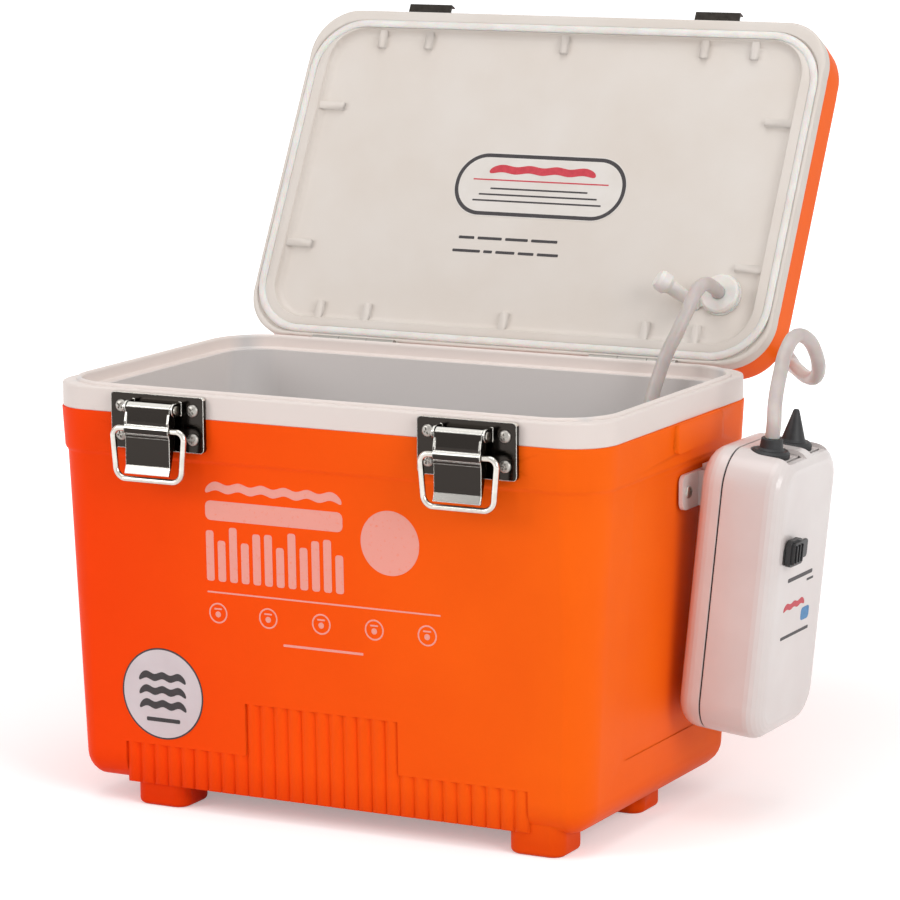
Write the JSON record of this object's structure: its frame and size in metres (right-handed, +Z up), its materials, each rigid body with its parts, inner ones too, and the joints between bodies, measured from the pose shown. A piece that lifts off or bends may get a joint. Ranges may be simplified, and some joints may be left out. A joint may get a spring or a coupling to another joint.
{
  "type": "aerated bait bucket",
  "caption": "Small insulated live-bait bucket with a hinged lid, bail latches, moulded feet and a battery air pump hung on its side that blows through a hose and an air stone.",
  "frame": {"origin": "on the ground below the middle of the tub", "axes": "+X to the tub's right, where the pump hangs; +Y to the back, where the lid is hinged; +Z up"},
  "size_m": [0.3535, 0.3144, 0.3795],
  "materials": {
    "shell_orange": "satin",
    "liner_white": "satin",
    "foam": "matte",
    "latch_steel": "satin",
    "screw_steel": "satin",
    "seal_silicone": "satin",
    "pump_case": "gloss",
    "black_rubber": "satin",
    "black_plastic": "satin",
    "clear_hose": "gloss",
    "battery": "satin",
    "motor_steel": "satin",
    "brass": "satin",
    "inner_plastic": "matte",
    "air_stone": "matte"
  },
  "bodies": {
    "tub": {"tub_shell": "shell_orange", "tub_foam": "foam", "tub_liner": "liner_white", "latch_plate_left": "latch_steel", "latch_plate_right": "latch_steel", "latch_screws": "screw_steel", "lever_pins": "latch_steel", "tub_hinge_leaves": "latch_steel", "tub_hinge_screws": "screw_steel", "hinge_pins": "latch_steel", "pump_bracket": "pump_case", "bracket_screws": "screw_steel", "pump_hook": "pump_case", "pump_back_shell": "pump_case", "pump_front_shell": "pump_case", "pump_seal": "black_rubber", "case_screws": "screw_steel", "battery_cells": "battery", "battery_contacts": "motor_steel", "pump_motor": "motor_steel", "air_chamber": "inner_plastic", "diaphragm": "black_rubber", "nozzle_cap": "black_rubber", "nozzle_socket": "black_rubber", "switch_plate": "black_plastic", "outer_hose": "clear_hose", "inner_hose": "clear_hose", "air_stone": "air_stone"},
    "lid": {"lid_shell": "shell_orange", "lid_foam": "foam", "lid_liner": "liner_white", "lid_seal": "seal_silicone", "lid_hinge_leaf_left": "latch_steel", "lid_hinge_leaf_right": "latch_steel", "lid_hinge_screws": "screw_steel", "keeper_left": "latch_steel", "keeper_right": "latch_steel", "keeper_screws": "screw_steel", "port_grommet": "seal_silicone", "port_plug": "seal_silicone"},
    "lever_left": {"lever_left": "latch_steel"},
    "lever_right": {"lever_right": "latch_steel"},
    "bail_left": {"bail_left": "latch_steel"},
    "bail_right": {"bail_right": "latch_steel"},
    "pump_switch": {"switch_knob": "black_plastic"},
    "pump_crank": {"pump_crank": "brass"}
  },
  "joints": [
    {"name": "lid_hinge", "type": "hinge", "parent": "tub", "child": "lid", "pos_m": [0, 0.09415, 0.2076], "axis": [1, 0, 0], "range_deg": [0, 118], "deforming": ["outer_hose", "inner_hose"]},
    {"name": "lever_left_pivot", "type": "hinge", "parent": "tub", "child": "lever_left", "pos_m": [-0.0835, -0.1003, 0.2014], "axis": [-1, 0, 0], "range_deg": [0, 120]},
    {"name": "lever_right_pivot", "type": "hinge", "parent": "tub", "child": "lever_right", "pos_m": [0.0835, -0.1003, 0.2014], "axis": [-1, 0, 0], "range_deg": [0, 120]},
    {"name": "bail_left_pivot", "type": "hinge", "parent": "lever_left", "child": "bail_left", "pos_m": [-0.0835, -0.1029, 0.1915], "axis": [1, 0, 0], "range_deg": [-172, 0]},
    {"name": "bail_right_pivot", "type": "hinge", "parent": "lever_right", "child": "bail_right", "pos_m": [0.0835, -0.1029, 0.1915], "axis": [1, 0, 0], "range_deg": [-172, 0]},
    {"name": "pump_switch_slide", "type": "slide", "parent": "tub", "child": "pump_switch", "axis": [0, 1, 0], "range_m": [0, 0.012]},
    {"name": "pump_crank_spin", "type": "hinge", "parent": "tub", "child": "pump_crank", "pos_m": [0.17192, 0.055, 0.0755], "axis": [0.1045, 0, 0.9945], "continuous": true}
  ]
}
